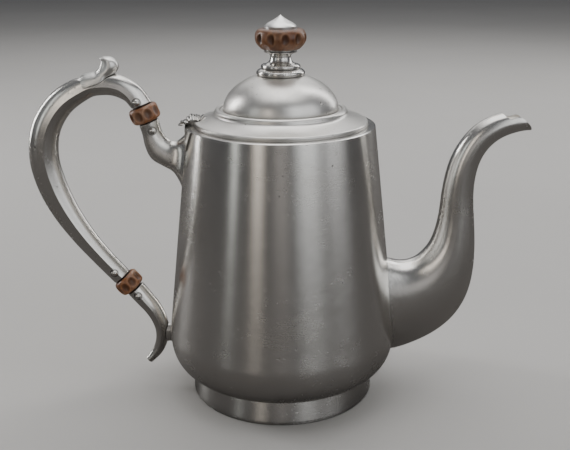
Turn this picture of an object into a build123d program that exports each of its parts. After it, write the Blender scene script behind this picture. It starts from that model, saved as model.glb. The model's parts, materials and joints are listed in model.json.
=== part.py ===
from build123d import *
from math import cos, radians, sin, sqrt
import os

# Silver coffee pot with a swan-neck spout, an insulated handle and a hinged domed lid.
# Units are millimetres. +Z is up and the origin is the centre of the foot's bottom face.
# The spout points along +X and the handle along -X; both lie in the plane Y = 0.

# ---------------------------------------------------------------- driving dimensions
SHEET = 0.9                  # thickness of the raised silver sheet

MOUTH_Z = 151.6              # top of the ledge that the lid rests on
MOUTH_R = 50.0               # outside radius at the rim
BODY_MAX_R = 63.1            # widest radius of the body
BODY_MAX_Z = 34.0            # height of the widest place
BODY_BOTTOM_Z = 13.0         # underside of the body
BODY_BOTTOM_R = 48.0         # where the shoulder meets the foot

FOOT_R = 50.9                # foot radius on the table
FOOT_TOP_R = 48.6
FOOT_WALL = 1.6

MOUTH_INNER_R = 42.8         # radius of the filling hole
MOUTH_LIP_DEPTH = 4.0

LID_R = 46.0                 # radius of the lid's flange
LID_REST_GAP = 0.1           # lid to ledge when closed
LID_EDGE_Z = 153.9           # top of the flange edge
LID_BEAD_Z = 160.2
DOME_R = 30.5
DOME_BASE_Z = 159.4
DOME_HEIGHT = 19.5
BEZEL_R = 42.3
BEZEL_BOTTOM_Z = 146.8

HINGE_X = -45.0              # hinge axis, parallel to Y
HINGE_Z = 152.5
KNUCKLE_R = 2.2
PIN_R = 0.8
HINGE_CLEARANCE = 0.05       # radial, between the pin and the lid's knuckles
KNUCKLE_END = 5.7            # the barrel runs from -KNUCKLE_END to +KNUCKLE_END
KNUCKLE_MID = 2.0            # half length of the middle knuckle
KNUCKLE_GAP = 0.15
RIB_R = 0.95                 # ribs of the fluted shell over the hinge
SHELL_HALF = 7.5             # distance of the fixed cheeks from the middle
LEAF_HALF = 6.0              # half length of the swinging half
LEAF_SWEEP_R = 6.15          # room kept for it behind the barrel

# Spokes of the shell: angle above +X, length from the hinge axis
FIXED_SPOKES = ((117, 5.2), (134, 5.2), (151, 5.7), (168, 7.4))
SWINGING_SPOKES = ((100, 5.2), (81, 6.1), (62, 7.2), (43, 7.7))

BOLT_R = 1.5                 # rod up the middle of the finial
FINIAL_BASE_Z = 176.6
KNOB_Z = 190.4               # underside of the wooden knob
KNOB_TOP_Z = 201.2
KNOB_R = 13.4
KNOB_DIMPLES = 11
KNOB_DIMPLE_R = 2.3
NUT_TOP_Z = 177.2
WASHER_THICKNESS = 0.8
NUT_THICKNESS = 2.4
CAP_R = 8.5
TIP_Z = 208.0                # top of the pot

TENON_R = 3.0                # wooden tenons inside the silver sockets
TENON_LENGTH = 8.0
RIVET_R = 0.7
RIVET_HEAD_R = 1.7

# Wooden beads of the handle: centre x, z, direction of the axis, diameter
UPPER_BEAD = (-71.9, 157.4, -69, 16.2)
LOWER_BEAD = (-85.9, 61.9, -49, 15.4)
BEAD_THICKNESS = 8.4
BEAD_DIMPLES = 9
BEAD_DIMPLE_R = 2.6          # radius of the ball that cuts a dimple
UPPER_RIVETS = ((-75.4, 163.9), (-67.9, 148.8))
LOWER_RIVETS = ((-92.9, 68.9), (-80.6, 54.9))
BASE_ALIGN = (Align.CENTER, Align.CENTER, Align.MIN)

# Each row is one oval section of a swept part: the centre (x, z), the direction that the part
# runs in, in degrees above +X, the width in the XZ plane and the depth along Y.
GRIP_SECTIONS = (
    (-73.2, 161.9, 110, 11.0, 9.6),
    (-78.2, 168.3, 138, 11.3, 9.8),
    (-86.0, 172.3, 164, 11.7, 10.2),
    (-94.2, 173.1, 182, 12.0, 10.6),
    (-102.4, 171.5, 199, 12.5, 11.2),
    (-115.6, 163.2, 225, 14.0, 12.2),
    (-124.5, 150.0, 250, 15.2, 13.0),
    (-127.0, 134.2, 272, 15.8, 13.4),
    (-124.0, 118.5, 289, 15.7, 13.1),
    (-117.8, 103.8, 298, 14.4, 12.4),
    (-109.5, 90.1, 304, 12.6, 11.4),
    (-99.8, 77.3, 308, 11.2, 10.4),
    (-89.4, 65.1, 311, 10.7, 9.6),
)
SCROLL_SECTIONS = (
    (-104.0, 170.5, 36, 4.0, 5.0),
    (-99.5, 173.8, 36, 6.0, 7.5),
    (-95.4, 177.0, 38, 6.6, 8.8),
    (-92.0, 179.5, 48, 7.2, 9.4),
    (-89.3, 182.2, 76, 8.2, 9.0),
    (-89.0, 184.6, 116, 6.6, 7.6),
    (-91.2, 186.2, 158, 2.8, 4.6),
    (-93.3, 186.4, 182, 1.0, 2.0),
)
SOCKET_SECTIONS = (
    (-70.0, 153.0, -69, 11.0, 9.6),
    (-68.6, 147.4, -75, 10.6, 9.4),
    (-67.0, 142.4, -66, 12.4, 10.0),
    (-64.4, 138.2, -46, 14.6, 10.6),
    (-60.6, 135.8, -24, 14.8, 10.6),
    (-56.6, 134.5, -12, 17.6, 11.2),
    (-53.6, 133.2, -8, 24.6, 13.4),
    (-51.6, 132.0, -7, 31.4, 16.4),
)
TAIL_SECTIONS = (
    (-82.4, 58.2, -52, 10.8, 9.4),
    (-77.3, 51.7, -55, 10.4, 9.0),
    (-73.1, 46.0, -61, 9.7, 8.6),
    (-70.0, 39.7, -73, 8.9, 8.0),
    (-68.5, 32.9, -86, 7.9, 7.4),
    (-69.2, 25.9, -102, 6.7, 6.4),
    (-71.9, 19.5, -120, 5.7, 5.6),
    (-77.2, 13.2, -137, 4.2, 4.4),
)
SPOUT_SECTIONS = (
    (56.2, 48.2, 0, 56.0, 28.0),
    (65.5, 49.2, 13, 53.2, 27.4),
    (74.4, 52.3, 27, 49.2, 26.6),
    (82.3, 57.3, 42, 44.4, 25.6),
    (88.3, 64.5, 57, 38.0, 24.2),
    (92.1, 73.2, 71, 31.2, 22.4),
    (94.5, 82.3, 81, 25.6, 20.6),
    (95.6, 91.7, 87, 21.8, 18.8),
    (95.9, 101.1, 89, 19.2, 17.2),
    (95.9, 110.5, 88, 17.6, 16.1),
    (96.6, 120.0, 83, 16.5, 15.3),
    (98.5, 129.2, 73, 15.7, 14.6),
    (102.3, 137.8, 58, 14.8, 13.9),
    (108.2, 144.9, 42, 14.0, 13.0),
    (116.0, 149.7, 25, 12.9, 11.8),
    (124.9, 151.9, 5, 11.2, 10.6),
    (134.0, 151.6, -8, 8.4, 9.0),
)


# ---------------------------------------------------------------- helpers
def tilted(x, z, angle):
    """Plane square to the direction `angle` in the XZ plane; its local X axis is along +Y."""
    run = radians(angle)
    return Plane(origin=(x, 0, z), x_dir=(0, 1, 0), z_dir=(cos(run), 0, sin(run)))


def swept(sections, inset=0.0):
    """Smooth solid through oval sections, each made smaller all round by `inset`."""
    ovals = []
    for x, z, angle, width, depth in sections:
        oval = scale(Circle(1), (depth / 2 - inset, width / 2 - inset, 1))
        ovals.append(tilted(x, z, angle) * oval)
    return loft(ovals)


def stretched(sections, start, end):
    """The same sections with one more added straight on before the first and after the last."""
    rows = list(sections)
    for row, distance, place in ((rows[0], -start, 0), (rows[-1], end, len(rows) + 1)):
        x, z, angle, width, depth = row
        run = radians(angle)
        moved = (x + distance * cos(run), z + distance * sin(run), angle, width, depth)
        rows.insert(place, moved)
    return rows


def turned(outline):
    """Solid of revolution about Z from a closed outline of edges in the XZ plane."""
    return revolve(make_face(outline), Axis.Z)


def turned_points(*points):
    """Solid of revolution from straight-sided (radius, height) corners."""
    return turned(Polyline(*[(r, 0, z) for r, z in points], close=True))


def quarter_ellipse(half_width, height):
    """Arc from (half_width, 0) up to (0, height)."""
    return EllipticalCenterArc((0, 0), half_width, height, start_angle=0, arc_size=90)


def rib(start, end, start_r, end_r):
    """Tapered rib with a ball on its outer end."""
    start = Vector(*start)
    end = Vector(*end)
    along = end - start
    cone = Plane(start, z_dir=along) * Cone(start_r, end_r, along.length, align=BASE_ALIGN)
    return cone + Pos(*end) * Sphere(end_r)


def body_outline(inset=0.0):
    """Edges of the body's side from the bottom to the rim, moved inwards by `inset`."""
    foot = (BODY_BOTTOM_R - inset * 0.2, 0, BODY_BOTTOM_Z + inset)
    shoulder = Spline(
        foot,
        (57.2 - inset * 0.7, 0, 17.4 + inset * 0.7),
        (61.6 - inset, 0, 24.4 + inset * 0.3),
        (BODY_MAX_R - inset, 0, BODY_MAX_Z),
        (62.2 - inset, 0, 43.6),
        tangents=((1, 0, 0.08), (-0.113, 0, 1)),
    )
    side = Line((62.2 - inset, 0, 43.6), (MOUTH_R - inset, 0, MOUTH_Z))
    return shoulder, side, foot


def body_solid(inset=0.0):
    """The body as if it were solid silver."""
    shoulder, side, foot = body_outline(inset)
    top = Polyline((MOUTH_R - inset, 0, MOUTH_Z), (0, 0, MOUTH_Z), (0, 0, foot[2]), foot)
    return turned([shoulder, side, top])


BODY_ENVELOPE = body_solid()


# ---------------------------------------------------------------- body
def body_shell():
    """Raised wall, open at the top and bottom, pierced behind the spout."""
    shell = BODY_ENVELOPE - body_solid(SHEET)
    shell -= Pos(0, 0, MOUTH_Z - 1.2) * Cylinder(60, 5, align=BASE_ALIGN)
    shell -= Cylinder(BODY_BOTTOM_R - 3, 30, align=BASE_ALIGN)
    holes = []
    hole_r = 1.5
    pitch = 5.0
    for row in range(-3, 4):
        count = 4 - abs(row) // 2
        for column in range(count):
            y = (column - (count - 1) / 2) * pitch
            z = 48 + row * pitch * sqrt(3) / 2
            holes.append(Pos(60, y, z) * Rot(0, 90, 0) * Cylinder(hole_r, 20))
    return shell - holes


def base_disc():
    """Slightly domed bottom plate inside the lower edge of the shell."""
    edge = BODY_BOTTOM_R - 3
    return turned_points(
        (0, BODY_BOTTOM_Z + 1.5), (edge * 0.6, BODY_BOTTOM_Z + 1.1), (edge, BODY_BOTTOM_Z),
        (edge, BODY_BOTTOM_Z + SHEET), (edge * 0.6, BODY_BOTTOM_Z + 1.1 + SHEET),
        (0, BODY_BOTTOM_Z + 1.5 + SHEET),
    )


def foot_ring():
    """Plain collar foot with a slight outward spread and a turned-in top."""
    ring = turned_points(
        (FOOT_R - FOOT_WALL, 0), (FOOT_R - 0.3, 0), (FOOT_R, 0.4), (FOOT_R - 0.1, 1.6),
        (FOOT_TOP_R + 0.2, 12.0), (FOOT_TOP_R + 0.9, 12.7), (FOOT_TOP_R + 0.9, 13.8),
        (FOOT_TOP_R - 3.4, 13.8), (FOOT_TOP_R - 3.4, 12.6), (FOOT_TOP_R - FOOT_WALL, 12.2),
    )
    return ring - BODY_ENVELOPE


def hinge_pocket():
    """Room in the ledge for the hinge barrel to lie in."""
    half = KNUCKLE_END + 0.4
    reach = KNUCKLE_R + 0.3
    return Pos(HINGE_X, 0, HINGE_Z) * Box(2 * reach, 2 * half, 2 * reach)


def mouth_ring():
    """Flat ledge at the rim with a short lip hanging inside the mouth."""
    ledge = 1.2
    ring = turned_points(
        (MOUTH_INNER_R, MOUTH_Z), (MOUTH_R - 0.5, MOUTH_Z), (MOUTH_R, MOUTH_Z - 0.4),
        (MOUTH_R + 0.1, MOUTH_Z - ledge), (MOUTH_INNER_R + SHEET, MOUTH_Z - ledge),
        (MOUTH_INNER_R + SHEET, MOUTH_Z - MOUTH_LIP_DEPTH),
        (MOUTH_INNER_R, MOUTH_Z - MOUTH_LIP_DEPTH),
    )
    return ring - hinge_pocket()


# ---------------------------------------------------------------- spout
def lip_cutter():
    """Everything above the line of the cut lip, seen from the side."""
    heel = (116.4, 0, 157.8)
    toe = (132.9, 0, 146.5)
    edge = Spline(heel, (118.5, 0, 155.4), (121.7, 0, 154.1), (125.6, 0, 155.1), (129.2, 0, 153.0),
                  (132.5, 0, 149.0), toe)
    rest = Polyline(toe, (140, 0, 146.5), (140, 0, 165), (116.4, 0, 165), heel)
    return extrude(make_face([edge, rest]), amount=10, dir=(0, 1, 0), both=True)


def spout():
    """Hollow swan-neck spout, soldered over the strainer."""
    outside = swept(SPOUT_SECTIONS)
    inside = swept(stretched(SPOUT_SECTIONS, 4, 4), SHEET)
    return outside - inside - BODY_ENVELOPE - lip_cutter()


# ---------------------------------------------------------------- handle
def bead_plane(bead):
    x, z, angle = bead[:3]
    return tilted(x, z, angle)


def bead_profile(radius, thickness, tenon_r, tenon_length):
    """Half outline of a rounded bead with a tenon on each side, about the local Z axis."""
    half = thickness / 2
    flat = radius * 0.66
    return [
        Line((0, 0, -half - tenon_length), (tenon_r, 0, -half - tenon_length)),
        Line((tenon_r, 0, -half - tenon_length), (tenon_r, 0, -half)),
        Line((tenon_r, 0, -half), (flat, 0, -half)),
        Spline((flat, 0, -half), (radius, 0, 0), (flat, 0, half),
               tangents=((1, 0, 0.1), (-1, 0, 0.1))),
        Line((flat, 0, half), (tenon_r, 0, half)),
        Line((tenon_r, 0, half), (tenon_r, 0, half + tenon_length)),
        Line((tenon_r, 0, half + tenon_length), (0, 0, half + tenon_length)),
        Line((0, 0, half + tenon_length), (0, 0, -half - tenon_length)),
    ]


def dimples(count, ring_r, height, ball_r, stretch=1.3, phase=0.0):
    """Ring of egg-shaped hollows, longer along Z, to be cut from the side of a bead."""
    cutters = []
    for number in range(count):
        ball = scale(Sphere(ball_r), (1, 1, stretch))
        cutters.append(Rot(0, 0, phase + 360 * number / count) * Pos(ring_r, 0, height) * ball)
    return cutters


def tenon_bores(bead):
    """Round bar along a bead's axis, as long as its tenons."""
    return bead_plane(bead) * Cylinder(TENON_R, BEAD_THICKNESS + 2 * TENON_LENGTH + 1)


def bead_faces(bead):
    """Slab between the two flat faces of a bead."""
    return bead_plane(bead) * Cylinder(20, BEAD_THICKNESS)


def insulator(bead, rivets):
    """Dimpled wooden bead that keeps the grip cool."""
    radius = bead[3] / 2
    solid = turned(bead_profile(radius, BEAD_THICKNESS, TENON_R, TENON_LENGTH))
    solid = solid - dimples(BEAD_DIMPLES, radius + 1.3, 0, BEAD_DIMPLE_R, phase=-90 + 12)
    solid = bead_plane(bead) * solid
    return solid - rivet_shanks(rivets)


def rivet_shanks(places):
    return [Pos(x, 0, z) * Rot(90, 0, 0) * Cylinder(RIVET_R, 30) for x, z in places]


def rivets(places, carriers):
    """Cross rivets with a domed head on each side; `carriers` are the solids they hold."""
    group = []
    for (x, z), (carrier, half_depth) in zip(places, carriers):
        shank = Pos(x, 0, z) * Rot(90, 0, 0) * Cylinder(RIVET_R, 2 * half_depth)
        dome = []
        for side in (-1, 1):
            flat_ball = scale(Sphere(RIVET_HEAD_R), (1, 0.7, 1))
            dome.append(Pos(x, side * (half_depth - 0.15), z) * flat_ball)
        heads = Part() + dome - carrier
        group.append(shank + heads)
    return group


def grip_envelope():
    return swept(GRIP_SECTIONS) - bead_faces(UPPER_BEAD) - bead_faces(LOWER_BEAD)


def handle_grip():
    """Hollow C-shaped grip; its two ends are solid and bored for the tenons."""
    hollow = swept(GRIP_SECTIONS[2:-2], SHEET)
    grip = GRIP - hollow - tenon_bores(UPPER_BEAD) - tenon_bores(LOWER_BEAD)
    return grip - rivet_shanks(UPPER_RIVETS + LOWER_RIVETS)


def thumb_scroll():
    """Curled spur that sweeps up off the grip; its pointed head turns back outwards."""
    return swept(SCROLL_SECTIONS) - GRIP


def upper_socket():
    """Cast elbow that spreads into a pointed pad on the body."""
    socket = SOCKET - tenon_bores(UPPER_BEAD)
    return socket - rivet_shanks(UPPER_RIVETS)


def tail_socket():
    """Lower socket that runs down to a free pointed tail."""
    tail = TAIL - tenon_bores(LOWER_BEAD)
    return tail - rivet_shanks(LOWER_RIVETS)


def handle_lug():
    """Small oval pad that joins the tail to the body."""
    pad = Pos(-63.6, 0, 31) * Rot(0, 90, 0) * extrude(Ellipse(5.5, 3), amount=2.6, both=True)
    return pad - BODY_ENVELOPE - TAIL


# ---------------------------------------------------------------- hinge
def hinge_plate():
    """Plate on the outside of the rim with two points, and the middle knuckle."""
    thickness = 0.8
    grown = body_solid(-thickness) - BODY_ENVELOPE
    corner = 21.0
    point = 15.0
    outline = Polyline((corner, 151.2), (point, 140.2), (9.0, 149.0), (-9.0, 149.0),
                       (-point, 140.2), (-corner, 151.2), close=True)
    stencil = extrude(Plane.YZ * make_face(outline), amount=-70)
    plate = (grown & stencil) - SOCKET
    bar_z = MOUTH_Z + 0.75
    bar = Pos((HINGE_X - MOUTH_R) / 2, 0, bar_z) * Box(MOUTH_R + HINGE_X + 1.6, 2 * KNUCKLE_MID, 1.5)
    knuckle = Pos(HINGE_X, 0, HINGE_Z) * Rot(90, 0, 0) * Cylinder(KNUCKLE_R, 2 * KNUCKLE_MID)
    strap = Pos(-MOUTH_R - 0.4, 0, 151) * Box(0.8, 2 * KNUCKLE_MID, 4.2)
    plate = plate + (strap - BODY_ENVELOPE) + bar + knuckle
    return plate - Pos(HINGE_X, 0, HINGE_Z) * Rot(90, 0, 0) * Cylinder(PIN_R, 30)


def round_hinge(angle, radius):
    """Point (x, z) at a distance from the hinge axis, `angle` degrees above +X."""
    run = radians(angle)
    return HINGE_X + radius * cos(run), HINGE_Z + radius * sin(run)


def fan_rib(side, angle, inner, outer, y):
    """One rib that stands out from the hinge axis like a spoke."""
    low_x, low_z = round_hinge(angle, inner)
    top_x, top_z = round_hinge(angle, outer)
    return rib((low_x, side * y, low_z), (top_x, side * y, top_z), RIB_R, RIB_R * 1.15)


def hinge_shell():
    """Fixed half of the fluted shell: a spoked cheek at each end and a wall behind the barrel."""
    ribs = []
    for side in (-1, 1):
        for angle, outer in FIXED_SPOKES:
            ribs.append(fan_rib(side, angle, 3.6, outer, SHELL_HALF))
    for step in range(-3, 4):
        share = step / 4
        bulge = sqrt(1 - share ** 2)
        foot = (-49.9 - 1.1 * bulge, SHELL_HALF * share, MOUTH_Z)
        edge = (-51.6 - 1.6 * bulge, (SHELL_HALF + 0.2) * share, 152.9 + 0.6 * share ** 2)
        ribs.append(rib(foot, edge, 1.0, 1.15))
    fan = Part() + ribs
    fan -= Pos(HINGE_X, 0, HINGE_Z) * Rot(90, 0, 0) * Cylinder(LEAF_SWEEP_R, 2 * LEAF_HALF + 0.5)
    return fan - hinge_plate() - BODY_ENVELOPE - SOCKET


def hinge_pin():
    return Pos(HINGE_X, 0, HINGE_Z) * Rot(90, 0, 0) * Cylinder(PIN_R, 2 * KNUCKLE_END)


def hinge_leaf():
    """Lid half of the fluted shell: two outer knuckles, spoked cheeks and an arched roof."""
    inner = KNUCKLE_MID + KNUCKLE_GAP
    length = KNUCKLE_END - inner
    middle = (KNUCKLE_END + inner) / 2
    axis = Pos(HINGE_X, 0, HINGE_Z) * Rot(90, 0, 0)
    roof = axis * (Cylinder(5.4, 2 * LEAF_HALF) - Cylinder(4.3, 2 * LEAF_HALF))
    corners = [round_hinge(angle, reach) for angle, reach in ((24, 9), (60, 10), (90, 9))]
    wedge = Polyline((HINGE_X, HINGE_Z), *corners, close=True)
    roof &= extrude(Plane.XZ * make_face(wedge), amount=LEAF_HALF, both=True)
    leaf = Part() + roof
    for side in (-1, 1):
        at = Pos(HINGE_X, side * middle, HINGE_Z)
        leaf += at * Rot(90, 0, 0) * Cylinder(KNUCKLE_R, length)
        leaf += at * Rot(0, -45, 0) * Pos(2.9, 0, 0) * Box(3.6, length, 2.6)
        for angle, outer in SWINGING_SPOKES:
            leaf += fan_rib(side, angle, 3.2, outer, LEAF_HALF - RIB_R)
    leaf -= axis * Cylinder(KNUCKLE_R + 0.3, 2 * inner)
    leaf -= axis * Cylinder(PIN_R + HINGE_CLEARANCE, 30)
    under_lid = Pos(0, 0, 150) * Cylinder(40.6, 4.6, align=BASE_ALIGN)
    return leaf - LID - under_lid


# ---------------------------------------------------------------- lid
def lid_cover():
    """Raised lid: rolled flange, concave step, bead and dome, with a hole for the bolt."""
    rest_z = MOUTH_Z + LID_REST_GAP
    seat = Plane.XZ * Pos(0, DOME_BASE_Z)
    outer = seat * quarter_ellipse(DOME_R, DOME_HEIGHT)
    inner = seat * quarter_ellipse(DOME_R - SHEET, DOME_HEIGHT - SHEET)
    step = Spline((45.4, 0, LID_EDGE_Z), (41.0, 0, 154.9), (36.9, 0, 156.6), (35.1, 0, 158.6),
                  tangents=((-1, 0, 0.12), (-0.15, 0, 1)))
    bead = ThreePointArc((35.1, 0, 158.6), (33.9, 0, LID_BEAD_Z), (32.0, 0, 159.5))
    under = Spline((44.4, 0, rest_z + 0.9), (40.6, 0, 153.9), (36.2, 0, 155.6), (34.0, 0, 158.0),
                   tangents=((-1, 0, 0.12), (-0.15, 0, 1)))
    outline = [
        outer,
        Line((DOME_R, 0, DOME_BASE_Z), (32.0, 0, 159.5)),
        bead,
        step,
        ThreePointArc((45.4, 0, LID_EDGE_Z), (LID_R - 0.1, 0, LID_EDGE_Z - 0.5),
                      (LID_R, 0, LID_EDGE_Z - 1.0)),
        Polyline((LID_R, 0, LID_EDGE_Z - 1.0), (LID_R, 0, rest_z), (44.4, 0, rest_z),
                 (44.4, 0, rest_z + 0.9)),
        under,
        Line((34.0, 0, 158.0), (DOME_R - SHEET, 0, DOME_BASE_Z)),
        inner,
        Line((0, 0, DOME_BASE_Z + DOME_HEIGHT - SHEET), (0, 0, DOME_BASE_Z + DOME_HEIGHT)),
    ]
    cover = turned(outline)
    half = KNUCKLE_END + 0.4
    notch = Pos(HINGE_X - 2, 0, HINGE_Z) * Box(2 * 4.6, 2 * half, 2 * (KNUCKLE_R + 0.2))
    return cover - notch - Pos(0, 0, 170) * Cylinder(BOLT_R, 20)


def lid_bezel():
    """Ring under the flange that drops into the mouth."""
    top = 153.2
    ring = turned_points((BEZEL_R - SHEET, BEZEL_BOTTOM_Z), (BEZEL_R, BEZEL_BOTTOM_Z),
                         (BEZEL_R, top + 2), (BEZEL_R - SHEET, top + 2))
    return ring - LID - turned_points((0, 153.1), (46, 152.6), (46, 170), (0, 170))


def finial_base():
    """Turned silver base: two beads, a waisted neck and a thin plate under the knob."""
    top = KNOB_Z
    outline = [
        Line((0, 0, FINIAL_BASE_Z), (11.6, 0, FINIAL_BASE_Z)),
        Spline((11.6, 0, FINIAL_BASE_Z), (12.7, 0, 178.9), (9.8, 0, 180.9)),
        ThreePointArc((9.8, 0, 180.9), (10.3, 0, 182.1), (9.0, 0, 183.1)),
        Spline((9.0, 0, 183.1), (6.3, 0, 184.4), (5.4, 0, 186.4), (8.5, 0, 189.2),
               tangents=((-1, 0, 0.1), (1, 0, 0.25))),
        Line((8.5, 0, 189.2), (8.7, 0, 189.5)),
        Line((8.7, 0, 189.5), (8.2, 0, 190.0)),
        Line((8.2, 0, 190.0), (8.2, 0, top)),
        Line((8.2, 0, top), (0, 0, top)),
        Line((0, 0, top), (0, 0, FINIAL_BASE_Z)),
    ]
    return turned(outline) - DOME_ENVELOPE - Pos(0, 0, 180) * Cylinder(BOLT_R, 40)


def finial_knob():
    """Wooden knob with a ring of oval dimples."""
    outline = [
        Line((0, 0, KNOB_Z), (8.2, 0, KNOB_Z)),
        Spline((8.2, 0, KNOB_Z), (11.4, 0, 192.5), (KNOB_R, 0, 196.6), (12.4, 0, 199.8),
               (10.2, 0, KNOB_TOP_Z), tangents=((1, 0, 0.25), (-1, 0, 0.05))),
        Line((10.2, 0, KNOB_TOP_Z), (0, 0, KNOB_TOP_Z)),
        Line((0, 0, KNOB_TOP_Z), (0, 0, KNOB_Z)),
    ]
    knob = turned(outline) - Pos(0, 0, 195) * Cylinder(BOLT_R, 40)
    return knob - dimples(KNOB_DIMPLES, KNOB_R + 0.9, 196.6, KNOB_DIMPLE_R, phase=-90 + 10.5)


def finial_cap():
    """Pointed silver cap on top of the knob."""
    flank = Spline((8.4, 0, 202.3), (7.3, 0, 203.4), (4.2, 0, 205.2), (1.6, 0, 206.8), (0, 0, TIP_Z))
    outline = [
        Line((0, 0, KNOB_TOP_Z), (CAP_R - 0.2, 0, KNOB_TOP_Z)),
        Line((CAP_R - 0.2, 0, KNOB_TOP_Z), (8.4, 0, 202.3)),
        flank,
        Line((0, 0, TIP_Z), (0, 0, KNOB_TOP_Z)),
    ]
    return turned(outline) - Pos(0, 0, KNOB_TOP_Z - 1) * Cylinder(BOLT_R, 4, align=BASE_ALIGN)


def finial_bolt():
    """Rod from the cap down to the nut inside the lid."""
    bottom = NUT_TOP_Z - WASHER_THICKNESS - NUT_THICKNESS - 1.5
    return Pos(0, 0, bottom) * Cylinder(BOLT_R, KNOB_TOP_Z + 3 - bottom, align=BASE_ALIGN)


def finial_washer():
    """Washer dished to the inside of the dome."""
    blank = Pos(0, 0, NUT_TOP_Z - WASHER_THICKNESS) * Cylinder(5, 4, align=BASE_ALIGN)
    return (blank & INNER_DOME) - Cylinder(BOLT_R, 400)


def finial_nut():
    nut = extrude(RegularPolygon(3.4, 6), amount=NUT_THICKNESS) - Cylinder(BOLT_R, 20)
    return Pos(0, 0, NUT_TOP_Z - WASHER_THICKNESS - NUT_THICKNESS) * nut


def dome_envelope(inset=0.0):
    """Solid half ellipsoid of the dome."""
    ball = scale(Sphere(DOME_R - inset), (1, 1, (DOME_HEIGHT - inset) / (DOME_R - inset)))
    upper = Pos(0, 0, DOME_BASE_Z) * ball
    return upper - Pos(0, 0, DOME_BASE_Z - 40) * Cylinder(50, 40, align=BASE_ALIGN)


# ---------------------------------------------------------------- build
DOME_ENVELOPE = dome_envelope()
INNER_DOME = dome_envelope(SHEET)
GRIP = grip_envelope()
SOCKET = swept(SOCKET_SECTIONS) - bead_faces(UPPER_BEAD) - BODY_ENVELOPE
TAIL = swept(TAIL_SECTIONS) - bead_faces(LOWER_BEAD)
LID = lid_cover()

PARTS = {
    "body_shell": body_shell(),
    "base_disc": base_disc(),
    "foot_ring": foot_ring(),
    "mouth_ring": mouth_ring(),
    "spout": spout(),
    "upper_socket": upper_socket(),
    "upper_insulator": insulator(UPPER_BEAD, UPPER_RIVETS),
    "handle_grip": handle_grip(),
    "thumb_scroll": thumb_scroll(),
    "lower_insulator": insulator(LOWER_BEAD, LOWER_RIVETS),
    "tail_socket": tail_socket(),
    "handle_lug": handle_lug(),
    "upper_rivets": rivets(UPPER_RIVETS, ((GRIP, 5.2), (SOCKET, 5.0))),
    "lower_rivets": rivets(LOWER_RIVETS, ((GRIP, 5.2), (TAIL, 4.9))),
    "hinge_plate": hinge_plate(),
    "hinge_shell": hinge_shell(),
    "hinge_pin": hinge_pin(),
    "lid_cover": LID,
    "lid_bezel": lid_bezel(),
    "hinge_leaf": hinge_leaf(),
    "finial_base": finial_base(),
    "finial_knob": finial_knob(),
    "finial_cap": finial_cap(),
    "finial_bolt": finial_bolt(),
    "finial_washer": finial_washer(),
    "finial_nut": finial_nut(),
}

os.makedirs("parts", exist_ok=True)
for name, shape in PARTS.items():
    if isinstance(shape, list):
        shape = Compound(children=[Solid(piece.solids()[0].wrapped) for piece in shape])
    export_step(shape, f"parts/{name}.step")
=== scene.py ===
import json
import math

import bmesh
import bpy
from mathutils import Matrix, Vector


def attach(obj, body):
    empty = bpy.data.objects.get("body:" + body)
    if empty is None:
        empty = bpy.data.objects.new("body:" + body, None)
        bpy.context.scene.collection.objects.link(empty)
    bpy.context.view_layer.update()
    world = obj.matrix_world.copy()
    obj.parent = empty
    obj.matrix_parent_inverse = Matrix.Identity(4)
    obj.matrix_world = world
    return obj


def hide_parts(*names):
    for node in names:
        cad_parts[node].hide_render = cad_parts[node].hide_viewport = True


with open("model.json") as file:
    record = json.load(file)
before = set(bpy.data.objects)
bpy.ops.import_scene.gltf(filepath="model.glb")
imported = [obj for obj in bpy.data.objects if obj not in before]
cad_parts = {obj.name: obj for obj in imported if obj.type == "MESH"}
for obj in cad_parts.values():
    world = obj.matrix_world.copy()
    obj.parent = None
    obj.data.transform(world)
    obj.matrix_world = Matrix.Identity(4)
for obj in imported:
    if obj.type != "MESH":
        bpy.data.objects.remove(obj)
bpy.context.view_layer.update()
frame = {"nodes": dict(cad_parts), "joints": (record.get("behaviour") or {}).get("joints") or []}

MM = 0.001
NODES = frame["nodes"]
scene = bpy.context.scene

# ---------------------------------------------------------------- driving shapes (mm, degrees)
# Sweeps of the handle: centre x and z, direction above +X, width, depth along Y
GRIP = (
    (-73.2, 161.9, 110, 11.0, 9.6),
    (-78.2, 168.3, 138, 11.3, 9.8),
    (-86.0, 172.3, 164, 11.7, 10.2),
    (-94.2, 173.1, 182, 12.0, 10.6),
    (-102.4, 171.5, 199, 12.5, 11.2),
    (-115.6, 163.2, 225, 14.0, 12.2),
    (-124.5, 150.0, 250, 15.2, 13.0),
    (-127.0, 134.2, 272, 15.8, 13.4),
    (-124.0, 118.5, 289, 15.7, 13.1),
    (-117.8, 103.8, 298, 14.4, 12.4),
    (-109.5, 90.1, 304, 12.6, 11.4),
    (-99.8, 77.3, 308, 11.2, 10.4),
    (-89.4, 65.1, 311, 10.7, 9.6),
)
# Lean of the grip's section at its top end, and the shares of its length between which it fades
LEAN, LEAN_FADES = 0.32, (0.03, 0.16)
# Step in the outer side of the grip under the thumb scroll: depth, then x where it starts and ends
STEP_DEPTH, STEP_STARTS, STEP_ENDS = 5.0, (-86.5, -95.0), (-95.5, -107.0)
STEP_LIMIT = 0.45         # share of the length past which there is no step

# Thumb scroll: the two sides of its outline (x, z each) and its half depth along Y
SCROLL = (
    (-107.0, 175.4, -104.0, 170.0, 5.3),
    (-103.2, 178.0, -99.4, 171.7, 5.75),
    (-99.2, 179.2, -95.4, 173.0, 5.7),
    (-96.4, 179.7, -92.2, 174.7, 5.4),
    (-95.0, 180.9, -89.5, 176.9, 4.9),
    (-94.0, 182.2, -86.4, 178.5, 4.8),
    (-93.4, 183.7, -84.3, 181.5, 4.7),
    (-93.2, 184.9, -84.9, 184.8, 4.3),
    (-93.3, 185.7, -87.6, 187.0, 3.4),
    (-93.5, 186.2, -91.0, 187.4, 2.0),
    (-93.8, 186.5, -92.9, 187.0, 0.8),
)
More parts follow.
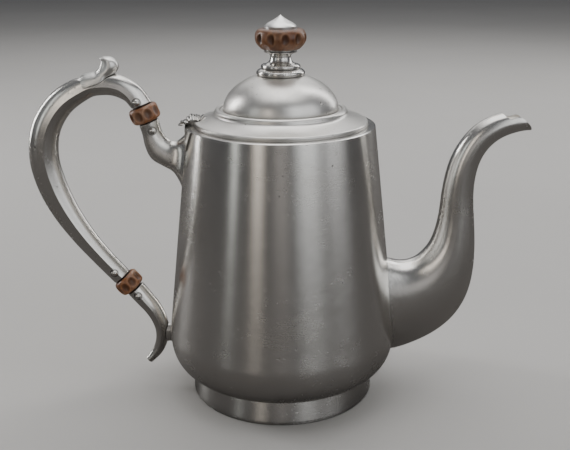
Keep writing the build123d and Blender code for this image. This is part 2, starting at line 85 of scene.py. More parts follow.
# Rows of the scroll between which it turns from flush to round, and where its cheeks are hollow
SCROLL_ROUNDS, HOLLOW_STARTS, HOLLOW_ENDS = (2.5, 5.5), (3.4, 5.6), (7.0, 9.0)
# The hollow: depth as a share, middle across the scroll (-1 to 1) and width
HOLLOW_DEPTH, HOLLOW_MIDDLE, HOLLOW_WIDTH = 0.18, -0.50, 0.34

SOCKET = (
    (-70.0, 153.0, -69, 11.0, 9.6),
    (-68.6, 147.4, -75, 10.6, 9.4),
    (-67.0, 142.4, -66, 12.4, 10.0),
    (-64.4, 138.2, -46, 14.6, 10.6),
    (-60.6, 135.8, -24, 14.8, 10.6),
    (-56.6, 134.5, -12, 17.6, 11.2),
    (-53.6, 133.2, -8, 24.6, 13.4),
    (-51.6, 132.0, -7, 31.4, 16.4),
    (-51.1, 131.9, -7, 32.4, 17.0),
)
TAIL = (
    (-82.4, 58.2, -52, 10.8, 9.4),
    (-77.3, 51.7, -55, 10.4, 9.0),
    (-73.1, 46.0, -61, 9.7, 8.6),
    (-70.0, 39.7, -73, 8.9, 8.0),
    (-68.5, 32.9, -86, 7.9, 7.4),
    (-69.2, 25.9, -102, 6.7, 6.4),
    (-71.9, 19.5, -120, 5.7, 5.6),
    (-77.2, 13.2, -137, 4.2, 4.4),
)

# Hinge axis, parallel to Y
HINGE_X, _, HINGE_Z = (round(value / MM, 3) for value in frame["joints"][0]["pos_m"])
HOOD_HALF = 6.0           # half width of the hood over it
HOOD_WALL = 0.6
HOOD_CURL = 0.27          # how much lower the hood is at its ends, as a share
HOOD_PINCH = 0.24         # how much each face of the wall draws in at its ends
WING_SPLIT = 2.25, 2.3    # where the middle band of the wing ends and the side bands start
KNUCKLE = 2.15, 4.6       # start and end of a lid knuckle
KNUCKLE_RADIUS, KNUCKLE_BORE = 2.2, 0.86
WEB = (-53.2, -50.1), (-2.2, 2.2), (151.5, 153.3)     # joins the hood to the hinge plate
ARM = (-43.6, -41.6), KNUCKLE, (150.9, 152.1)         # joins a knuckle to the wing
# Ridges and valleys of the hood over the hinge: angle above +X, distance from the axis
FIXED_FLUTES = ((119.5, 5.05), (127, 5.4), (139, 5.0), (150, 5.8), (161, 5.3), (171, 7.0), (177, 6.3),
                (184, 9.1), (187, 9.7))
SWINGING_FLUTES = ((112, 3.8), (107, 4.2), (97, 3.65), (87, 4.2), (77, 3.65), (66, 4.2), (57, 3.75),
                   (52, 3.8), (48.5, 4.2), (44, 5.8), (36, 5.1), (28, 6.3), (12, 6.6))

RIVETS = ((-75.4, 163.9), (-67.9, 148.8), (-92.9, 68.9), (-80.6, 54.9))    # x, z
RIVET_RING, RIVET_RING_WIDTH = 2.1, 0.55

# Outline of the knob: radius, height
KNOB_CURVE = ((8.2, 190.45), (9.9, 190.9), (11.6, 192.5), (12.9, 194.4), (13.45, 196.6),
              (13.1, 198.6), (12.2, 200.2), (10.9, 201.0), (9.6, 201.18))
KNOB_FOOT, KNOB_TOP, KNOB_BORE = 190.4, 201.18, 1.6
FOOT_FLAT, TOP_FLAT = 4.0, 5.0      # radii on the flat ends
# Beads: x, z, direction of their axis above +X, radius, angle of one of their dimples
BEADS = {"upper": (-71.9, 157.4, -69, 8.1, -82), "lower": (-85.9, 61.9, -49, 7.7, -91)}
BEAD_HALF, TENON_LENGTH, TENON_RADIUS = 4.2, 8.0, 3.0
# Outline of half a bead: share of its radius, share of its half length
BEAD_CURVE = ((0.66, 1.0), (0.80, 0.97), (0.91, 0.80), (0.975, 0.5), (1.0, 0.0))
# Dimples of the knob: number, angle of one of them, height, half width, half height
KNOB_DIMPLES = (11, -79.5, 196.5, 2.15, 2.85)
BEAD_DIMPLE_COUNT, BEAD_DIMPLE_SIZE = 9, (2.35, 2.9)
KNOB_DIMPLE_DEPTH, BEAD_DIMPLE_DEPTH = 1.5, 1.25
DIMPLED_RADIUS = 6.0      # nothing nearer to the axis is dimpled

# Half sections: (towards the convex side of the bend, across), both as shares of the half size.
# RIDGED is the grip's, KEELED the tail's, and LOW_KEEL the upper socket's, with its keel low on the
# outside of the bend. The thumb scroll goes from FLUSH, at the grip, to ROUND.
RIDGED = ((1.0, 0.0), (0.955, 0.30), (0.83, 0.56), (0.62, 0.77), (0.34, 0.92), (0.05, 0.985),
          (-0.12, 1.02), (-0.20, 1.03), (-0.28, 0.98), (-0.46, 0.84), (-0.68, 0.64), (-0.87, 0.40),
          (-0.97, 0.18), (-1.0, 0.0))
KEELED = ((1.0, 0.0), (0.93, 0.36), (0.76, 0.62), (0.52, 0.83), (0.30, 0.96), (0.14, 1.02),
          (0.06, 1.02), (-0.06, 0.97), (-0.30, 0.86), (-0.56, 0.70), (-0.80, 0.47), (-0.95, 0.22),
          (-1.0, 0.0))
LOW_KEEL = ((1.0, 0.0), (0.97, 0.28), (0.88, 0.56), (0.76, 0.80), (0.66, 0.94), (0.56, 1.01), (0.42, 1.03),
            (0.15, 1.0), (-0.18, 0.92), (-0.5, 0.76), (-0.78, 0.51), (-0.94, 0.25), (-1.0, 0.0))
FLUSH = ((1.0, 0.0), (0.99, 0.45), (0.96, 0.80), (0.90, 0.97), (0.80, 1.01), (0.62, 1.0), (0.42, 0.98),
         (0.2, 0.945), (0.0, 0.90), (-0.25, 0.82), (-0.5, 0.69), (-0.72, 0.53), (-0.88, 0.34),
         (-0.97, 0.17), (-1.0, 0.0))
ROUND = tuple((math.cos(k * math.pi / 14), math.sin(k * math.pi / 14)) for k in range(15))


# ---------------------------------------------------------------- curves
def between(before, start, end, after, share):
    """Catmull-Rom value between start and end."""
    a = 2 * start
    b = end - before
    c = 2 * before - 5 * start + 4 * end - after
    d = -before + 3 * start - 3 * end + after
    return 0.5 * (a + (b + (c + d * share) * share) * share)


def row_at(rows, place):
    """Smoothly interpolated row at a fractional index."""
    last = len(rows) - 1
    index = min(int(place), last - 1)
    share = place - index
    near = rows[index], rows[index + 1]
    before = rows[index - 1] if index else [2 * a - b for a, b in zip(*near)]
    after = rows[index + 2] if index + 2 <= last else [2 * b - a for a, b in zip(*near)]
    return [between(p, a, b, n, share) for p, a, b, n in zip(before, *near, after)]


def smooth_rows(rows, steps):
    """Rows interpolated at even steps from the first to the last."""
    return [row_at(rows, k * (len(rows) - 1) / steps) for k in range(steps + 1)]


def closed_section(half, steps):
    """Full loop of a half section, mirrored across the plane of the handle."""
    fine = [row_at(half, k * (len(half) - 1) / steps) for k in range(steps + 1)]
    return fine + [(a, -b) for a, b in reversed(fine[1:-1])]


# ---------------------------------------------------------------- mesh pieces
def piece(name, vertices, faces, material, body, node, slot, crease=40):
    """Makes a closed mesh (mm) into a smooth-shaded piece that stands for a CAD node of a body."""
    mesh = bpy.data.meshes.new(name)
    mesh.from_pydata([tuple(c * MM for c in v) for v in vertices], [], faces)
    work = bmesh.new()
    work.from_mesh(mesh)
    bmesh.ops.recalc_face_normals(work, faces=work.faces)
    limit = math.radians(crease)
    for face in work.faces:
        face.smooth = True
    for edge in work.edges:
        if len(edge.link_faces) == 2:
            edge.smooth = edge.calc_face_angle(0.0) < limit
    work.to_mesh(mesh)
    work.free()
    mesh.materials.append(material)
    made = bpy.data.objects.new(name, mesh)
    scene.collection.objects.link(made)
    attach(made, body)
    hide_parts(node)
    return made


def skin(rings, joined=False):
    """Quads between equal closed rings; either a face on each end, or the last ring meets the first."""
    count = len(rings[0])
    vertices = [v for ring in rings for v in ring]
    faces = []
    for level in range(len(rings) - (0 if joined else 1)):
        base = level * count
        above = (level + 1) % len(rings) * count
        for k in range(count):
            after = (k + 1) % count
            faces.append((base + k, base + after, above + after, above + k))
    if not joined:
        faces.append(tuple(range(count)))
        faces.append(tuple((len(rings) - 1) * count + k for k in range(count)))
    return vertices, faces


def paint(made, name, values):
    """Stores one number per vertex under a name that a material can read."""
    layer = made.data.attributes.new(name, "FLOAT", "POINT")
    layer.data.foreach_set("value", values)


def ring_at(row, loop):
    """Section loop set square across the path at one of its rows."""
    x, z, angle, width, depth = row
    run = math.radians(angle)
    out_x, out_z = math.sin(run), -math.cos(run)
    ring = []
    for a, b in loop:
        reach = a * width / 2
        ring.append((x + reach * out_x, b * depth / 2, z + reach * out_z))
    return ring


START_ROUND = 0.5    # mm


def sweep(rows, half, steps, around=36, end_round=0.5, shape=None):
    """Rings of a section swept along the rows, rounded at each end; `shape` may change the section."""
    loop = closed_section(half, around)
    path = smooth_rows(rows, steps)
    rings = []
    for k, row in enumerate(path):
        use = shape(row, k / steps, loop) if shape else loop
        rings.append(ring_at(row, use))
    for end, radius in ((0, START_ROUND), (-1, end_round)):
        if radius:
            rings = rounded_end(rings, path, end, radius)
    return rings


def rounded_end(rings, path, end, radius):
    """Replaces the first (end 0) or last (end -1) ring by a short quarter-round."""
    x, z, angle, width, depth = path[end]
    run = math.radians(angle)
    way = 1 if end == 0 else -1
    half = min(width, depth) / 2
    made = []
    for quarter in (0, 30, 60, 90):
        turn = math.radians(quarter)
        shrink = 1 - radius * (1 - math.sin(turn)) / half
        shift = radius * (1 - math.cos(turn)) * way
        ring = []
        for px, py, pz in rings[end]:
            ring.append((x + (px - x) * shrink + shift * math.cos(run), py * shrink,
                         z + (pz - z) * shrink + shift * math.sin(run)))
        made.append(ring)
    if end == 0:
        return made + rings[1:]
    return rings[:-1] + made[::-1]


def ease(value, low, high):
    """0 at low, 1 at high, smooth between."""
    share = min(max((value - low) / (high - low), 0.0), 1.0)
    return share * share * (3 - 2 * share)


# ---------------------------------------------------------------- node helpers
class Shader:
    """A thin wrapper that adds and links shader nodes."""

    def __init__(self, name):
        self.material = bpy.data.materials.new(name)
        self.material.use_nodes = True
        self.tree = self.material.node_tree
        self.tree.nodes.clear()
        self.out = self.add("ShaderNodeOutputMaterial")
        self.bsdf = self.add("ShaderNodeBsdfPrincipled")
        self.link(self.bsdf.outputs["BSDF"], self.out.inputs["Surface"])

    def add(self, kind, **values):
        node = self.tree.nodes.new(kind)
        for key, value in values.items():
            setattr(node, key, value)
        return node

    def link(self, source, target):
        self.tree.links.new(source, target)

    def feed(self, node, socket, value):
        """Sets a socket to a constant, or links it to an output."""
        if isinstance(value, bpy.types.NodeSocket):
            self.link(value, node.inputs[socket])
        else:
            node.inputs[socket].default_value = value

    def math(self, operation, a, b=0.0, clamp=False):
        """One arithmetic step on numbers or outputs."""
        node = self.add("ShaderNodeMath", operation=operation, use_clamp=clamp)
        self.feed(node, 0, a)
        self.feed(node, 1, b)
        return node.outputs[0]

    def coords(self):
        """The piece's own coordinates, in metres."""
        return self.add("ShaderNodeTexCoord").outputs["Object"]

    def stretched(self, vector, scale):
        """Coordinates scaled along each axis."""
        node = self.add("ShaderNodeMapping")
        self.link(vector, node.inputs["Vector"])
        node.inputs["Scale"].default_value = scale
        return node.outputs["Vector"]

    def noise(self, vector, scale, detail=3.0, rough=0.55, distortion=0.0):
        """Fractal noise from about 0 to 1, with `scale` features to the metre."""
        node = self.add("ShaderNodeTexNoise")
        self.link(vector, node.inputs["Vector"])
        node.inputs["Scale"].default_value = scale
        node.inputs["Detail"].default_value = detail
        node.inputs["Roughness"].default_value = rough
        node.inputs["Distortion"].default_value = distortion
        return node.outputs["Fac"]

    def spread(self, value, low, high, to_low=0.0, to_high=1.0):
        """Stretches low..high of a value to to_low..to_high, clamped and eased."""
        node = self.add("ShaderNodeMapRange")
        node.interpolation_type = "SMOOTHSTEP"
        self.feed(node, "Value", value)
        node.inputs["From Min"].default_value = low
        node.inputs["From Max"].default_value = high
        node.inputs["To Min"].default_value = to_low
        node.inputs["To Max"].default_value = to_high
        return node.outputs["Result"]

    def blend(self, factor, a, b):
        """Colour a where the factor is 0, colour b where it is 1."""
        node = self.add("ShaderNodeMix", data_type="RGBA")
        self.feed(node, 0, factor)
        for socket, value in ((6, a), (7, b)):
            if isinstance(value, tuple):
                value = (*value, 1.0)
            self.feed(node, socket, value)
        return node.outputs[2]

    def crevice(self, distance):
        """1 in the open, falling towards 0 in narrow corners."""
        node = self.add("ShaderNodeAmbientOcclusion")
        node.samples = 8
        node.inputs["Distance"].default_value = distance
        return node.outputs["AO"]

    def bump(self, height, distance, normal=None):
        """Normal tilted by a height map of `distance` metres."""
        node = self.add("ShaderNodeBump")
        self.link(height, node.inputs["Height"])
        node.inputs["Distance"].default_value = distance
        if normal is not None:
            self.link(normal, node.inputs["Normal"])
        return node.outputs["Normal"]

    def ring(self, where, centre, radius, width):
        """0.8 on a ring (mm) round an axis parallel to Y, 0 away from it."""
        split = self.add("ShaderNodeSeparateXYZ")
        self.link(where, split.inputs[0])
        x, z = (self.math("SUBTRACT", split.outputs[axis], value * MM)
                for axis, value in zip((0, 2), centre))
        reach = self.math("SQRT", self.math("ADD", self.math("MULTIPLY", x, x),
                                            self.math("MULTIPLY", z, z)))
        off = self.math("ABSOLUTE", self.math("SUBTRACT", reach, radius * MM))
        return self.spread(off, 0.0, width * MM, 0.8, 0.0)

    def lathe_coords(self):
        """(radius, a small share of the angle, height), so that noise runs round the Z axis."""
        split = self.add("ShaderNodeSeparateXYZ")
        self.link(self.coords(), split.inputs[0])
        x, y, z = split.outputs
        radius = self.math("SQRT", self.math("ADD", self.math("MULTIPLY", x, x),
                                             self.math("MULTIPLY", y, y)))
        angle = self.math("ABSOLUTE", self.math("ARCTAN2", y, x))
        join = self.add("ShaderNodeCombineXYZ")
        self.link(radius, join.inputs[0])
        self.link(self.math("MULTIPLY", angle, BRUSH_STRETCH), join.inputs[1])
        self.link(z, join.inputs[2])
        return join.outputs[0]


BRUSH_STRETCH = 0.004                 # metres of noise per radian: long scratches round the axis
PIT_DARK = (0.10, 0.085, 0.07)
# Colour of grime and painted shade, laid into the corners that ambient occlusion finds
GRIME_AND_SHADE_DARK = (0.055, 0.048, 0.042)
GRIME_AND_SHADE_REACH = 3.0                     # mm, the width of a corner that gets grime and painted shade
# Painted shade inside the wood's dimples
PAINTED_DIMPLE_SHADE = (0.030, 0.009, 0.003)
# Painted shade in the wood's corners, and how far from a corner it reaches
PAINTED_CORNER_SHADE = (0.014, 0.006, 0.003)
CORNER_SHADE_REACH = 2.2                    # mm
PIT_DEPTH, BRUSH_DEPTH, GRAIN_DEPTH = 0.00008, 0.0000025, 0.00004      # metres


def silver(name, turned, bright=(0.74, 0.72, 0.685), stain=(0.47, 0.43, 0.375), grime_and_shade=0.8,
           roughness=0.245, waviness=0.00002, rings=()):
    """Old satin silver: fine brushing, cloudy tarnish, pits, and dark grime mixed with painted shade in the
    corners.
    `turned` brushes it round the Z axis; `rings` are rivets (x, z) with a dark ring round them."""
    s = Shader(name)
    where = s.coords()
    brush_where = s.lathe_coords() if turned else s.stretched(where, (1.0, 1.0, 0.35))
    brushing = s.noise(brush_where, 1500 if turned else 900, 3.0, 0.6)
    cloud = s.noise(where, 26, 5.0, 0.62, 0.4)
    fine_cloud = s.noise(where, 140, 5.0, 0.7)
    pit_gate = s.spread(s.noise(where, 34, 2.0), 0.50, 0.66)
    pits = s.math("MULTIPLY", s.spread(s.noise(where, 620, 2.0, 0.5), 0.66, 0.74), pit_gate)
    # Painted shade with grime: ambient occlusion darkens corners and crevices towards a near-black colour
    open_air = s.spread(s.crevice(GRIME_AND_SHADE_REACH * MM), 0.25, 0.85)
    patchy = s.spread(fine_cloud, 0.30, 0.62, 0.45, 1.0)
    stains = s.math("MULTIPLY", s.spread(cloud, 0.47, 0.72), patchy)
    colour = s.blend(s.math("MULTIPLY", stains, 0.30), bright, stain)
    colour = s.blend(s.math("MULTIPLY", pits, 0.75), colour, PIT_DARK)
    dirt_and_shade = s.math("MULTIPLY", s.math("SUBTRACT", 1.0, open_air), grime_and_shade)
    for centre in rings:
        dirt_and_shade = s.math("MAXIMUM", dirt_and_shade, s.ring(where, centre, RIVET_RING, RIVET_RING_WIDTH))
    colour = s.blend(dirt_and_shade, colour, GRIME_AND_SHADE_DARK)
    s.link(colour, s.bsdf.inputs["Base Color"])
    rough = s.math("ADD", s.spread(brushing, 0.3, 0.7, -0.012, 0.012), roughness)
    rough = s.math("ADD", rough, s.spread(fine_cloud, 0.35, 0.7, -0.01, 0.015))
    rough = s.math("ADD", rough, s.math("MULTIPLY", stains, 0.04))
    rough = s.math("ADD", rough, s.math("MULTIPLY", dirt_and_shade, 0.25), clamp=True)
    s.link(rough, s.bsdf.inputs["Roughness"])
    s.bsdf.inputs["Metallic"].default_value = 1.0
    if turned:
        s.bsdf.inputs["Anisotropic"].default_value = 0.75
        s.bsdf.inputs["Anisotropic Rotation"].default_value = 0.25
        tangent = s.add("ShaderNodeTangent", direction_type="RADIAL", axis="Z")
        s.link(tangent.outputs[0], s.bsdf.inputs["Tangent"])
    wave = s.bump(s.noise(where, 55, 2.0), waviness)
    brushed = s.bump(brushing, BRUSH_DEPTH, wave)
    pitted = s.bump(s.math("SUBTRACT", 1.0, pits), PIT_DEPTH, brushed)
    s.link(pitted, s.bsdf.inputs["Normal"])
    return s.material


def wood(name, dark, light, wear_and_sheen):
    """Polished hardwood, with painted shade in the dimples and corners and a painted sheen on the rims round
    the dimples.
    It reads the numbers stored on the mesh for the rims and for the dimples (`hollow`)."""
    s = Shader(name)
    where = s.coords()
    grain = s.noise(s.stretched(where, (1.0, 1.0, 0.25)), 420, 5.0, 0.65, 0.6)
    broad = s.noise(where, 90, 3.0, 0.5)
    open_air = s.spread(s.crevice(CORNER_SHADE_REACH * MM), 0.45, 0.95)
    rim_sheen = s.add("ShaderNodeAttribute", attribute_name="rim_sheen").outputs["Fac"]
    hollow = s.add("ShaderNodeAttribute", attribute_name="hollow").outputs["Fac"]
    colour = s.blend(s.spread(grain, 0.3, 0.72), dark, light)
    colour = s.blend(s.spread(broad, 0.4, 0.7, 0.0, 0.25), colour, wear_and_sheen)
    # Painted sheen: the rims round the dimples are lightened towards the pale colour in place of the
    # varnish's highlight
    painted_sheen = s.math("MULTIPLY", rim_sheen, s.spread(broad, 0.3, 0.62, 0.03, 0.25))
    colour = s.blend(painted_sheen, colour, wear_and_sheen)
    # Painted shade: the dimples are darkened towards a near-black brown
    colour = s.blend(s.math("MULTIPLY", hollow, 0.62), colour, PAINTED_DIMPLE_SHADE)
    # Painted shade: corners found by ambient occlusion are darkened towards a near-black brown
    corner_shade = s.math("MULTIPLY", s.math("SUBTRACT", 1.0, open_air), 0.9)
    colour = s.blend(corner_shade, colour, PAINTED_CORNER_SHADE)
    s.link(colour, s.bsdf.inputs["Base Color"])
    s.link(s.spread(grain, 0.3, 0.7, 0.34, 0.50), s.bsdf.inputs["Roughness"])
    s.bsdf.inputs["Coat Weight"].default_value = 0.35
    s.bsdf.inputs["Coat Roughness"].default_value = 0.28
    s.link(s.bump(grain, GRAIN_DEPTH), s.bsdf.inputs["Normal"])
    return s.material


# ---------------------------------------------------------------- finishes on the CAD nodes
TURNED = silver("silver_turned", True)
FORMED = silver("silver_formed", False, rings=RIVETS)
SPUN = silver("silver_spun", False, roughness=0.35, waviness=0.00001)
# Paler copy of the silver for the finial cap: its brighter colour is painted light for the light falling on
# the cap from above
PAINTED_LIGHT_SILVER = silver("silver_painted_light", False, bright=(0.86, 0.85, 0.83), roughness=0.34, grime_and_shade=0.6)
SATIN = silver("silver_satin", False, bright=(0.78, 0.77, 0.74), roughness=0.36, waviness=0.00001)
CAST = silver("silver_cast", False, bright=(0.71, 0.69, 0.65), stain=(0.40, 0.36, 0.31),
              grime_and_shade=0.95, roughness=0.24, waviness=0.00003, rings=RIVETS)
WOOD = wood("knob_wood", (0.066, 0.018, 0.004), (0.165, 0.050, 0.009), (0.40, 0.23, 0.12))
PALE_WOOD = wood("bead_wood", (0.125, 0.036, 0.007), (0.28, 0.098, 0.022), (0.54, 0.38, 0.26))

FINISHES = {
    TURNED: ("body_shell", "base_disc", "foot_ring", "mouth_ring", "lid_bezel", "finial_base"),
    SPUN: ("lid_cover",),
    PAINTED_LIGHT_SILVER: ("finial_cap",),
    FORMED: ("spout", "handle_grip"),
    CAST: ("upper_socket", "tail_socket", "handle_lug", "thumb_scroll", "upper_rivets",
           "lower_rivets", "hinge_plate", "hinge_shell", "hinge_pin", "hinge_leaf",
           "finial_bolt", "finial_washer", "finial_nut"),
    WOOD: ("finial_knob",),
    PALE_WOOD: ("upper_insulator", "lower_insulator"),
}
for finish, names in FINISHES.items():
    for name in names:
        NODES[name].data.materials.clear()
        NODES[name].data.materials.append(finish)


# ---------------------------------------------------------------- handle
def grip_section(row, share, loop):
    """Moves the widest line of the grip inwards near its top end, and lowers the outer side under
    the thumb scroll, which leaves a crevice."""
    lean = LEAN * (1 - ease(share, *LEAN_FADES))
    loop = [(a - lean * (1 - a * a), b) for a, b in loop]
    if share > STEP_LIMIT:
        return loop
    x, width = row[0], row[3]
    drop = STEP_DEPTH * ease(x, *STEP_STARTS) * (1 - ease(x, *STEP_ENDS))
    cut = 1 - drop / (width / 2)
    return [(min(a, cut + 0.04 * (a - 1)) if a > 0 else a, b) for a, b in loop]


def make_handle():
    rings = sweep(GRIP, RIDGED, 220, around=48, shape=grip_section)
    piece("grip", *skin(rings), FORMED, "pot", "handle_grip", "silver_body")
    piece("scroll", *skin(scroll_rings()), SATIN, "pot", "thumb_scroll", "silver_cast")


def scroll_rings():
    """Fat leaf that rises off the grip, with a hollow in each cheek under its pointed tip."""
    steps = 90
    rings = []
    for k in range(steps + 1):
        place = k * (len(SCROLL) - 1) / steps
        left_x, left_z, right_x, right_z, depth = row_at(SCROLL, place)
        hollow = HOLLOW_DEPTH * ease(place, *HOLLOW_STARTS) * (1 - ease(place, *HOLLOW_ENDS))
        roundness = ease(place, *SCROLL_ROUNDS)
        half = [(f[0] + (r[0] - f[0]) * roundness, f[1] + (r[1] - f[1]) * roundness)
                for f, r in zip(FLUSH, ROUND)]
        ring = []
        for a, b in closed_section(half, 28):
            across = (a + 1) / 2
            dent = 1 - hollow * math.exp(-((a - HOLLOW_MIDDLE) / HOLLOW_WIDTH) ** 2)
            ring.append((left_x + (right_x - left_x) * across, b * depth * dent,
                         left_z + (right_z - left_z) * across))
        rings.append(ring)
    return rings


def make_sockets():
    rings = sweep(SOCKET, LOW_KEEL, 90, end_round=0)
    piece("upper_socket_body", *skin(rings), CAST, "pot", "upper_socket", "silver_cast")
    rings = sweep(TAIL, KEELED, 90, end_round=1.8)
    piece("tail_body", *skin(rings), CAST, "pot", "tail_socket", "silver_cast")


# ---------------------------------------------------------------- wooden parts
def dimple_at(angle, radius, height, dimples):
    """(depth share inside a dimple, share of the ring round it that gets a painted sheen) at a place on a
    turned surface.
    """
    count, phase, level, half_width, half_height = dimples
    pitch = 2 * math.pi / count
    turn = (angle - math.radians(phase) + pitch / 2) % pitch - pitch / 2
    reach = math.hypot(turn * radius / half_width, (height - level) / half_height)
    return max(1 - reach ** 2, 0.0), math.exp(-((reach - 1.14) / 0.17) ** 2)


def turned_wood(name, node, material, body, outline, dimples, depth, place, bored=False):
    """Lathe-turned wooden part with a ring of hollows; `place` maps its own axes to the pot."""
    segments = dimples[0] * 20
    rings, hollows, rim_sheens = [], [], []
    for radius, height in outline:
        ring = []
        for k in range(segments):
            angle = 2 * math.pi * k / segments
            hollow, rim_sheen = dimple_at(angle, radius, height, dimples) if radius > DIMPLED_RADIUS else (0.0, 0.0)
            reach = radius - depth * hollow
            ring.append(place(reach * math.cos(angle), reach * math.sin(angle), height))
            hollows.append(min(hollow * 1.6, 1.0))
            rim_sheens.append(rim_sheen)
        rings.append(ring)
    made = piece(name, *skin(rings, bored), material, body, node, "wood", crease=50)
    # Masks for the material: painted shade in the dimples and painted sheen on their rims
    paint(made, "hollow", hollows)
    paint(made, "rim_sheen", rim_sheens)


def knob_outline():
    """Radius and height from the bore at the foot round to the bore at the top."""
    foot = [(KNOB_BORE, KNOB_FOOT), (FOOT_FLAT, KNOB_FOOT)]
    top = [(TOP_FLAT, KNOB_TOP), (KNOB_BORE, KNOB_TOP)]
    return foot + [tuple(row) for row in smooth_rows(KNOB_CURVE, 44)] + top


def bead_outline(radius):
    """Bead with a tenon at each end, lengthwise about its own middle."""
    half_curve = [(radius * r, BEAD_HALF * h) for r, h in BEAD_CURVE]
    lower = [(r, -h) for r, h in half_curve]
    curve = [tuple(row) for row in smooth_rows(lower + half_curve[-2::-1], 40)]
    end = BEAD_HALF + TENON_LENGTH
    start_tenon = [(TENON_RADIUS, -end), (TENON_RADIUS, -BEAD_HALF)]
    return start_tenon + curve + [(TENON_RADIUS, BEAD_HALF), (TENON_RADIUS, end)]


def bead_place(x, z, angle):
    """Function that sets a bead's axes (u along Y, w along the handle) in the pot's frame."""
    run = math.radians(angle)

    def place(u, v, w):
        return (x - v * math.sin(run) + w * math.cos(run), u, z + v * math.cos(run) + w * math.sin(run))
    return place


def as_it_stands(u, v, w):
    return u, v, w


def make_wood():
    turned_wood("knob", "finial_knob", WOOD, "lid", knob_outline(), KNOB_DIMPLES, KNOB_DIMPLE_DEPTH,
                as_it_stands, bored=True)
    for name, (x, z, angle, radius, phase) in BEADS.items():
        dimples = (BEAD_DIMPLE_COUNT, phase, 0.0, *BEAD_DIMPLE_SIZE)
        turned_wood(name + "_bead", name + "_insulator", PALE_WOOD, "pot", bead_outline(radius), dimples,
                    BEAD_DIMPLE_DEPTH, bead_place(x, z, angle))


# ---------------------------------------------------------------- hinge
def fluted_band(flutes, start, end, levels=16):
    """Corrugated hood round the hinge axis from y = start to y = end, curled down at its edges."""
    path = smooth_rows(flutes, 8 * (len(flutes) - 1))
    rings = []
    for level in range(levels + 1):
        y = start + (end - start) * level / levels
        share = abs(y) / HOOD_HALF
        curl = 1 - HOOD_CURL * share ** 2.2
        pinch = HOOD_PINCH * ease(share, 0.88, 1.0)
        ring = []
        for way, rows in ((-pinch, path), (pinch - HOOD_WALL, path[::-1])):
            for angle, radius in rows:
                turn = math.radians(angle)
                reach = (radius + way) * curl
                ring.append((HINGE_X + reach * math.cos(turn), y, HINGE_Z + reach * math.sin(turn)))
        rings.append(ring)
    return skin(rings)


def tube(radius, bore, start, end, around=40):
    """Tube along the hinge axis."""
    rings = []
    for size, y in ((radius, start), (radius, end), (bore, end), (bore, start)):
        turns = [2 * math.pi * k / around for k in range(around)]
        rings.append([(HINGE_X + size * math.cos(t), y, HINGE_Z + size * math.sin(t)) for t in turns])
    return skin(rings, joined=True)


def bar(x_range, y_range, z_range):
    """Rectangular block."""
    (x0, x1), (z0, z1) = x_range, z_range
    return skin([[(x0, y, z0), (x1, y, z0), (x1, y, z1), (x0, y, z1)] for y in y_range])


def gather(*parts):
    """Several closed meshes as one."""
    vertices, faces = [], []
    for more, polygons in parts:
        base = len(vertices)
        vertices += more
        faces += [tuple(base + k for k in polygon) for polygon in polygons]
    return vertices, faces


def make_hinge():
    """The hood stays on the pot; the wing turns inside it with the lid, on two knuckles."""
    hood = fluted_band(FIXED_FLUTES, -HOOD_HALF, HOOD_HALF, levels=28)
    piece("hinge_hood", *gather(hood, bar(*WEB)), CAST, "pot", "hinge_shell", "silver_cast", 50)
    middle_end, side_start = WING_SPLIT
    arm_x, arm_y, arm_z = ARM
    parts = [fluted_band(SWINGING_FLUTES[2:], -middle_end, middle_end)]
    for side in (-1, 1):
        parts.append(fluted_band(SWINGING_FLUTES, side * side_start, side * HOOD_HALF))
        parts.append(tube(KNUCKLE_RADIUS, KNUCKLE_BORE, *(side * y for y in KNUCKLE)))
        parts.append(bar(arm_x, [side * y for y in arm_y], arm_z))
    piece("hinge_wing", *gather(*parts), CAST, "lid", "hinge_leaf", "silver_cast", 50)


make_handle()
make_sockets()
make_wood()
make_hinge()


# ---------------------------------------------------------------- stage, light and camera
FLOOR_HALF, FLOOR_LEVEL = 6.0, -0.0002
FLOOR_PALE, FLOOR_CLOUD = (0.50, 0.485, 0.465), (0.485, 0.47, 0.45)
FLOOR_REFLECTED = (0.10, 0.094, 0.09)

SEEN_SKY = (0.36, 0.36, 0.365)                   # behind the floor, as the camera sees it
FELT_SKY, FELT_STRENGTH = (0.52, 0.54, 0.58), 0.22    # as every surface sees it

# Area lights: degrees round from the viewer towards the spout, distance, height, width, length (m),
# power (W) and tint
WHITE = (1.0, 1.0, 1.0)
SOFTBOXES = {
    "ceiling": (180, 0.3, 2.2, 2.6, 2.4, 34, WHITE),
    "front_right": (31, 1.9, 0.85, 1.35, 1.7, 8, (0.95, 0.98, 1.0)),
    "right": (64, 1.9, 0.80, 1.35, 1.5, 6, (0.95, 0.97, 1.0)),
    "front": (0, 2.0, 0.32, 0.8, 0.6, 0.5, (1.0, 0.94, 0.90)),
    "front_left": (-26, 2.1, 0.75, 0.6, 1.4, 3.5, (1.0, 0.92, 0.82)),
    "left": (-54, 1.7, 0.6, 0.32, 1.1, 1.5, (0.96, 1.0, 0.98)),
    "back_left": (-112, 1.3, 0.48, 0.2, 0.9, 8, WHITE),
    "back_right": (131, 1.3, 0.92, 0.36, 1.75, 7.5, WHITE),
    "back_top": (180, 1.5, 1.15, 2.2, 0.7, 5, WHITE),
}
# Each is three nested sheets, so that its edges fade: share of the power, share of the width
SHEETS = ((0.45, 1.0), (0.33, 0.72), (0.22, 0.44))
SHEET_GAP = 0.02
AIM = Vector((0, 0, 0.1))

EYE = (0, -0.4570, 0.2438)
LENS, SENSOR = 55.1, 36.0                        # mm
TILT, PAN, ROLL = 18.04, -0.24, -0.25            # degrees down, round Z, and round the line of sight


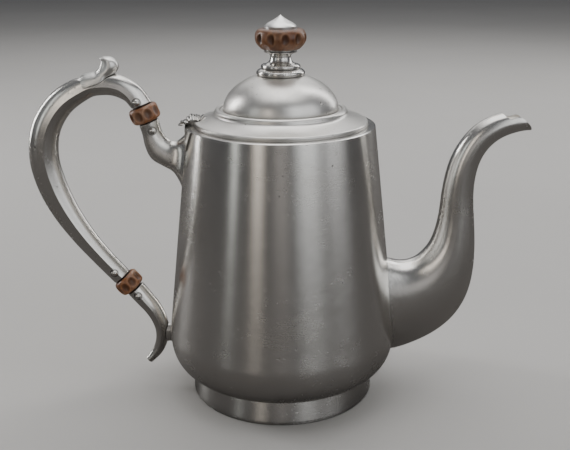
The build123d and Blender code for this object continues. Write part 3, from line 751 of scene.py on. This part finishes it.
def floor_finish():
    """Matt pale paint. In reflections it is dark, which keeps the lower half of the silver dark."""
    s = Shader("floor_paint")
    tint = s.noise(s.coords(), 3.0, 4.0)
    s.link(s.blend(s.spread(tint, 0.35, 0.65), FLOOR_PALE, FLOOR_CLOUD),
           s.bsdf.inputs["Base Color"])
    s.bsdf.inputs["Roughness"].default_value = 0.8
    shade = s.add("ShaderNodeBsdfDiffuse")
    shade.inputs["Color"].default_value = (*FLOOR_REFLECTED, 1)
    glossy = s.add("ShaderNodeLightPath").outputs["Is Glossy Ray"]
    mix = s.add("ShaderNodeMixShader")
    s.link(glossy, mix.inputs[0])
    s.link(s.bsdf.outputs["BSDF"], mix.inputs[1])
    s.link(shade.outputs["BSDF"], mix.inputs[2])
    s.link(mix.outputs[0], s.out.inputs["Surface"])
    return s.material


def make_floor():
    half = FLOOR_HALF
    mesh = bpy.data.meshes.new("floor")
    mesh.from_pydata([(-half, -half, 0), (half, -half, 0), (half, half, 0), (-half, half, 0)], [],
                     [(0, 1, 2, 3)])
    floor = bpy.data.objects.new("floor", mesh)
    scene.collection.objects.link(floor)
    floor.location.z = FLOOR_LEVEL
    mesh.materials.append(floor_finish())


def softbox(name, azimuth, distance, height, width, length, power, tint):
    """Area light with soft edges that faces the pot."""
    turn = math.radians(azimuth)
    for layer, (share, spread) in enumerate(SHEETS):
        light = bpy.data.lights.new(f"{name}_{layer}", "AREA")
        light.shape = "RECTANGLE"
        light.size = width * spread
        light.size_y = length
        light.energy = power * share
        light.color = tint
        lamp = bpy.data.objects.new(light.name, light)
        scene.collection.objects.link(lamp)
        away = distance + SHEET_GAP * layer
        lamp.location = (away * math.sin(turn), -away * math.cos(turn), height)
        look = AIM - lamp.location
        lamp.rotation_euler = look.to_track_quat("-Z", "Y").to_euler()


def make_light():
    """Grey surroundings, dimmer for the surfaces than for the camera, and the softboxes."""
    world = bpy.data.worlds.new("studio")
    scene.world = world
    world.use_nodes = True
    tree = world.node_tree
    tree.nodes.clear()
    out = tree.nodes.new("ShaderNodeOutputWorld")
    mix = tree.nodes.new("ShaderNodeMixShader")
    path = tree.nodes.new("ShaderNodeLightPath")
    seen = tree.nodes.new("ShaderNodeBackground")
    felt = tree.nodes.new("ShaderNodeBackground")
    seen.inputs["Color"].default_value = (*SEEN_SKY, 1)
    felt.inputs["Color"].default_value = (*FELT_SKY, 1)
    felt.inputs["Strength"].default_value = FELT_STRENGTH
    tree.links.new(path.outputs["Is Camera Ray"], mix.inputs[0])
    tree.links.new(felt.outputs[0], mix.inputs[1])
    tree.links.new(seen.outputs[0], mix.inputs[2])
    tree.links.new(mix.outputs[0], out.inputs["Surface"])
    for name, values in SOFTBOXES.items():
        softbox(name, *values)


def make_camera():
    lens = bpy.data.cameras.new("camera")
    lens.sensor_width = SENSOR
    lens.lens = LENS
    lens.clip_start = 0.01
    lens.clip_end = 60
    eye = bpy.data.objects.new("camera", lens)
    scene.collection.objects.link(eye)
    eye.location = EYE
    down = Matrix.Rotation(math.radians(90 - TILT), 3, "X")
    pan = Matrix.Rotation(math.radians(PAN), 3, "Z")
    roll = Matrix.Rotation(math.radians(ROLL), 3, "Z")
    eye.rotation_euler = (pan @ down @ roll).to_euler()
    scene.camera = eye


make_floor()
make_light()
make_camera()
